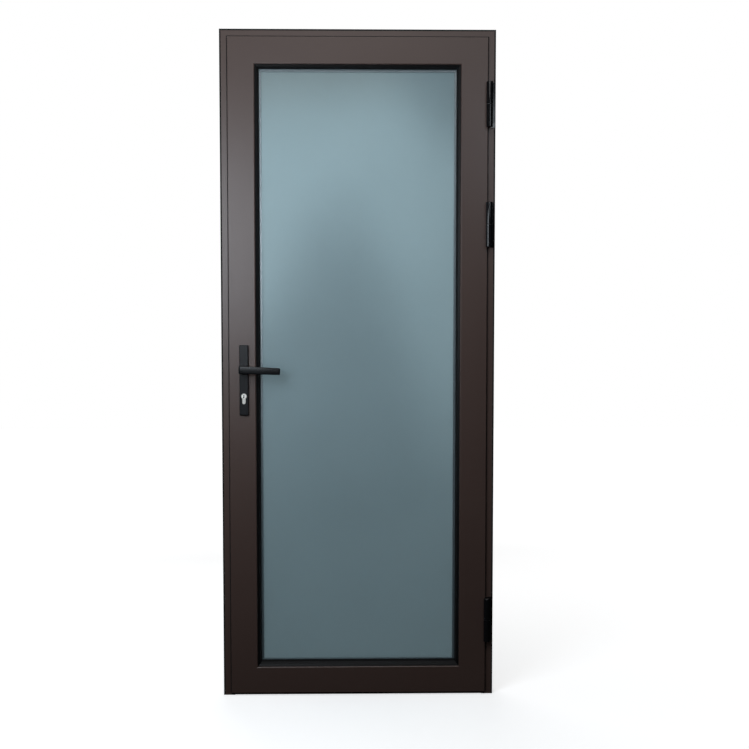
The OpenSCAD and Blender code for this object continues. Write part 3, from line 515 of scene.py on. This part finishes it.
def softened(node_name, body, material, edge_mm):
    """Stands for a CAD node: a merged copy with smooth curves and small rounded edges."""
    work = bmesh.new()
    work.from_mesh(nodes[node_name].data)
    bmesh.ops.remove_doubles(work, verts=work.verts, dist=MERGE_DISTANCE_MM / 1000)
    bmesh.ops.dissolve_limit(work, angle_limit=math.radians(FLAT_DEG), verts=work.verts, edges=work.edges)
    mesh = bpy.data.meshes.new(node_name + "_finished")
    work.to_mesh(mesh)
    work.free()
    mesh.shade_smooth()
    mesh.set_sharp_from_angle(angle=math.radians(SMOOTH_DEG))
    mesh.materials.append(material)
    made = bpy.data.objects.new(node_name + "_finished", mesh)
    bpy.context.scene.collection.objects.link(made)
    rounding = made.modifiers.new("rounded_edges", "BEVEL")
    rounding.width = edge_mm / 1000
    rounding.segments = 2
    rounding.limit_method = "ANGLE"
    rounding.angle_limit = math.radians(ROUNDED_DEG)
    rounding.harden_normals = True
    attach(made, body)
    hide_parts(node_name)


hinge_coat = finish(
    "black_powder_coat_hinge",
    ("#0e0e0f", "#141416"),
    COAT_DRIFT_MM,
    COAT_PEEL_MM,
    relief_mm=0.01,
    roughness=(0.12, 0.18),
    specular=0.35,
)
for hinge in HINGES:
    softened(f"{hinge}_hinge_frame_half", "frame", hinge_coat, HINGE_EDGE_MM)
    softened(f"{hinge}_hinge_leaf_half", "leaf", hinge_coat, HINGE_EDGE_MM)
dress(["hinge_frame_screws", "hinge_leaf_screws"], hinge_coat)
black_nylon = finish("black_nylon", ("#0e0e0f", "#161617"), **NYLON_GRAIN)
dress([f"{h}_hinge_bush" for h in HINGES], black_nylon)

# Steel hidden in hinges and lock
# Hinge pins, the pressed lock case with its cover, follower and cam, the spindle, strike plate and screws.
# Zinc plated: cool grey with a fine mottle and a dull mirror.
zinc_steel = finish(
    "zinc_plated_steel",
    ("#a6a9ac", "#bcbfc1"),
    drift_mm=14,
    grain_mm=0.8,
    relief_mm=0.01,
    roughness=(0.32, 0.44),
    metallic=0.6,
)
dress([f"{h}_hinge_pin" for h in HINGES], zinc_steel)
dress(["lock_case", "lock_cover", "lock_follower", "spindle", "cylinder_cam", "cylinder_screw"], zinc_steel)
dress(["strike_plate", "strike_screws", "handle_bolts", "lever_grub_screws"], zinc_steel)

# Faceplate, bolts and profile cylinder
# Nickel-plated brass and zinc castings in the edge of the lock stile and through the handle plates.
# Brushed and plated: bright and warm, with a soft shine.
NICKEL_GRAIN = {"drift_mm": 30, "grain_mm": 0.9, "relief_mm": 0.01, "metallic": 0.55}
satin_nickel = finish(
    "satin_nickel", ("#cbc7c0", "#d8d5cf"), roughness=(0.36, 0.46), stretch=(1, 1, 0.2), **NICKEL_GRAIN
)
dress(["lock_faceplate", "faceplate_screws", "latch_bolt", "dead_bolt", "cylinder_body"], satin_nickel)

# Key plugs
# The two turning cores of the cylinder, each with a keyway cut into its face.
# Nickel painted lighter than the body's, a painted highlight, with painted shade, near black, down in the
# keyway.
# Black of the painted shade in the keyway, and how far in from the plug's face it starts.
KEYWAY_SHADE_BLACK = "#121212"
KEYWAY_SHADE_MM = 0.8
# The plugs' nickel is the body's nickel painted lighter: a painted highlight.
plug_nickel_painted_light = finish("plug_nickel_painted_highlight", ("#e4e1db", "#eeece8"), roughness=(0.4, 0.48), **NICKEL_GRAIN)
plug_tree = plug_nickel_painted_light.node_tree
plug_face = abs(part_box("front_key_plug")[0][1])
plug_y = object_axes(plug_tree)["Y"]
plug_depth = add_node(plug_tree, "ShaderNodeMath", {"operation": "ABSOLUTE"}, links={0: plug_y})
keyway_shade_mask = add_node(
    plug_tree,
    "ShaderNodeMath",
    {"operation": "LESS_THAN"},
    {1: plug_face - KEYWAY_SHADE_MM / 1000},
    {0: plug_depth.outputs[0]},
)
# Paints shade down in the keyway, deeper than the plug's face.
overlay(plug_nickel_painted_light, keyway_shade_mask.outputs[0], KEYWAY_SHADE_BLACK, dullness=0.9)
dress(["front_key_plug", "rear_key_plug"], plug_nickel_painted_light)

# Handles
# A flat bent lever and a long bevelled plate on each face, cast aluminium on a square spindle.
# Charcoal powder coat, smoother than the frame's, with small worn-round edges. The levers are glossier than
# the plates, and their coat is the plates' charcoal painted darker: painted shade.
HANDLE_EDGE_MM = 0.6
HANDLE_GRAIN = {"drift_mm": 90, "grain_mm": COAT_PEEL_MM, "relief_mm": 0.02, "specular": 0.24}
handle_coat = finish("charcoal_powder_coat", ("#0d0e10", "#131417"), roughness=(0.34, 0.42), **HANDLE_GRAIN)
# The levers' colour is the plates' charcoal painted darker, a painted shade.
lever_painted_shade = finish(
    "charcoal_lever_painted_shade", ("#07080a", "#0c0d0f"), roughness=(0.26, 0.34), **HANDLE_GRAIN
)
for side in ("front", "rear"):
    softened(f"{side}_handle_plate", "leaf", handle_coat, HANDLE_EDGE_MM)
    softened(f"{side}_lever", "lever", lever_painted_shade, HANDLE_EDGE_MM)

# Studio
# A pale floor and a white surround, lit by soft lamps at the left, above, at the right and behind the door.
# Black cards, seen only in reflections, keep the coats deep. Grey and warm cards behind the door, seen only
# through the glass, give it its soft shades.
WHITE = (1.0, 1.0, 1.0, 1.0)
WARM = (1.0, 0.8, 0.66, 1.0)
COOL = (0.84, 0.92, 1.0)
AMBIENT = 0.075
FLOOR_SIZE = 16.0
FLOOR_BOUNCE = 0.1
FLOOR_LIT = 0.9
FLOOR_GLOW_NEAR = 0.55
SHADOW_REACH = 3.0
CARD_BLACK = 0.02
CARD_GREY_GLOW = 0.66
CARD_HEIGHT = 5
CARD_LIFT = 0.003
CARD_LINES = {
    "front_card": ((-6, -6), (6, -6)),
    "left_card": ((-4, -6), (-4, 1)),
    "right_card": ((4, -6), (4, 1)),
    "far_card": ((0.6, 1), (4, 1)),
}
ARCH_BEHIND = 0.45
ARCH = [(-0.6, 0), (0.6, 0), (0.55, 0.45), (0.3, 0.75), (0.21, 1.0), (0.14, 1.25), (0.05, 1.52)]
ARCH += [(-0.02, 1.62), (-0.1, 1.65), (-0.17, 1.56), (-0.24, 1.38), (-0.36, 1.18), (-0.48, 0.9), (-0.6, 0.5)]
LINTEL_BEHIND = 0.35
LINTEL = [(-0.5, 1.92), (-0.25, 1.94), (0.15, 1.99), (0.15, 2.3), (-0.5, 2.3)]
CORNER = [(0.15, 1.97), (0.3, 1.81), (0.5, 1.75), (0.5, 2.3), (0.15, 2.3)]


def sheet_object(name, corners, material):
    """A flat sheet, part of the studio."""
    mesh = bpy.data.meshes.new(name)
    mesh.from_pydata(corners, [], [range(len(corners))])
    mesh.materials.append(material)
    made = bpy.data.objects.new(name, mesh)
    bpy.context.scene.collection.objects.link(made)
    return made


def level_corners(height):
    """The corners of the floor's square at a height."""
    half = FLOOR_SIZE / 2
    return [(-half, -half, height), (half, -half, height), (half, half, height), (-half, half, height)]


def grey(level):
    """A neutral colour of that brightness."""
    return (level, level, level, 1.0)


def seen_directly(tree):
    """1 where a ray comes from the camera, a reflection or glass, and 0 where it only carries light."""
    path = add_node(tree, "ShaderNodeLightPath").outputs
    shiny = add_node(
        tree,
        "ShaderNodeMath",
        {"operation": "MAXIMUM"},
        links={0: path["Is Camera Ray"], 1: path["Is Glossy Ray"]},
    )
    seen = add_node(
        tree,
        "ShaderNodeMath",
        {"operation": "MAXIMUM"},
        links={0: shiny.outputs[0], 1: path["Is Transmission Ray"]},
    )
    return seen.outputs[0]


floor_paint, floor_tree, floor_surface = new_material("studio_floor")
floor_matte = add_node(floor_tree, "ShaderNodeBsdfDiffuse", inputs={"Color": grey(FLOOR_BOUNCE)})
floor_place = add_node(floor_tree, "ShaderNodeTexCoord").outputs["Object"]
floor_near = add_node(
    floor_tree,
    "ShaderNodeMapping",
    inputs={"Scale": [1 / SHADOW_REACH] * 3},
    links={"Vector": floor_place},
)
floor_fade = add_node(
    floor_tree,
    "ShaderNodeTexGradient",
    {"gradient_type": "SPHERICAL"},
    links={"Vector": floor_near.outputs[0]},
)
floor_level = add_node(
    floor_tree,
    "ShaderNodeMapRange",
    inputs={"To Min": 1.0, "To Max": FLOOR_GLOW_NEAR},
    links={"Value": floor_fade.outputs["Fac"]},
)
floor_glow = add_node(
    floor_tree,
    "ShaderNodeEmission",
    inputs={"Color": WHITE},
    links={"Strength": floor_level.outputs["Result"]},
)
floor_shadow = add_node(floor_tree, "ShaderNodeBsdfDiffuse", inputs={"Color": grey(FLOOR_LIT)})
floor_bright = add_node(
    floor_tree,
    "ShaderNodeAddShader",
    links={0: floor_glow.outputs[0], 1: floor_shadow.outputs[0]},
)
floor_mix = add_node(
    floor_tree,
    "ShaderNodeMixShader",
    links={0: seen_directly(floor_tree), 1: floor_matte.outputs[0], 2: floor_bright.outputs[0]},
)
floor_tree.links.new(floor_mix.outputs[0], floor_surface)
sheet_object("studio_floor", level_corners(0), floor_paint)


def card_paint(name, shader, inputs):
    """A card's material, made of one plain shader."""
    material, tree, surface = new_material(name)
    tree.links.new(add_node(tree, shader, inputs=inputs).outputs[0], surface)
    return material


black_card = card_paint("black_card", "ShaderNodeBsdfDiffuse", {"Color": grey(CARD_BLACK)})
grey_card = card_paint("grey_card", "ShaderNodeEmission", {"Color": WHITE, "Strength": CARD_GREY_GLOW})
warm_card = card_paint("warm_card", "ShaderNodeEmission", {"Color": WARM, "Strength": 1.0})
cards = [sheet_object("floor_card", level_corners(CARD_LIFT), black_card)]
for name, (start, end) in CARD_LINES.items():
    corners = [(*start, 0), (*end, 0), (*end, CARD_HEIGHT), (*start, CARD_HEIGHT)]
    cards.append(sheet_object(name, corners, black_card))
shades = [
    sheet_object("rear_card", [(x, ARCH_BEHIND, z) for x, z in ARCH], grey_card),
    sheet_object("top_card", [(x, LINTEL_BEHIND, z) for x, z in LINTEL], warm_card),
    sheet_object("corner_card", [(x, LINTEL_BEHIND, z) for x, z in CORNER], grey_card),
]
for card in cards + shades:
    card.visible_camera = False
    card.visible_shadow = False
    card.visible_diffuse = False
    card.visible_transmission = card in shades
    card.visible_glossy = card in cards

world = bpy.data.worlds.new("surround")
bpy.context.scene.world = world
world.use_nodes = True
sky = world.node_tree
sky.nodes.clear()
sky_strength = add_node(
    sky,
    "ShaderNodeMapRange",
    inputs={"To Min": AMBIENT, "To Max": 1.0},
    links={"Value": seen_directly(sky)},
)
sky_light = add_node(
    sky,
    "ShaderNodeBackground",
    inputs={"Color": WHITE},
    links={"Strength": sky_strength.outputs["Result"]},
)
add_node(sky, "ShaderNodeOutputWorld", links={"Surface": sky_light.outputs[0]})


def soft_lamp(name, place, aim, size, watts, colour=(1.0, 1.0, 1.0)):
    """A square soft box that shines from place towards aim and isn't itself in the picture."""
    data = bpy.data.lights.new(name, "AREA")
    data.size = size
    data.energy = watts
    data.color = colour
    lamp = bpy.data.objects.new(name, data)
    lamp.location = place
    lamp.rotation_euler = (Vector(aim) - Vector(place)).to_track_quat("-Z", "Y").to_euler()
    lamp.visible_camera = False
    bpy.context.scene.collection.objects.link(lamp)


soft_lamp("key_lamp", place=(-0.7, -1.3, 1.52), aim=(-0.3, 0, 1.4), size=0.8, watts=15.5, colour=COOL)
soft_lamp("top_lamp", place=(0, -2.0, 3.15), aim=(0, 0, 1.9), size=1.4, watts=14)
soft_lamp("right_lamp", place=(0.75, -1.3, 1.95), aim=(0.42, 0, 1.85), size=0.35, watts=2.2, colour=COOL)
soft_lamp("rear_lamp", place=(-0.25, 1.6, 1.85), aim=(-0.05, 0, 1.5), size=1.8, watts=15)

# Camera
# Stands in front of the door at chest height, looks slightly down and is turned a little to the right.
CAMERA_PLACE = (-0.009, -3.5, 1.225)
CAMERA_DOWN_DEG = 3.25
CAMERA_TURN_DEG = -1.0
CAMERA_LENS_MM = 53.13
CAMERA_SENSOR_MM = 36

camera_data = bpy.data.cameras.new("camera")
camera_data.lens = CAMERA_LENS_MM
camera_data.sensor_width = CAMERA_SENSOR_MM
camera = bpy.data.objects.new("camera", camera_data)
camera.location = CAMERA_PLACE
camera.rotation_euler = (math.radians(90 - CAMERA_DOWN_DEG), 0, math.radians(CAMERA_TURN_DEG))
bpy.context.scene.collection.objects.link(camera)
bpy.context.scene.camera = camera
bpy.context.scene.view_settings.view_transform = "Standard"
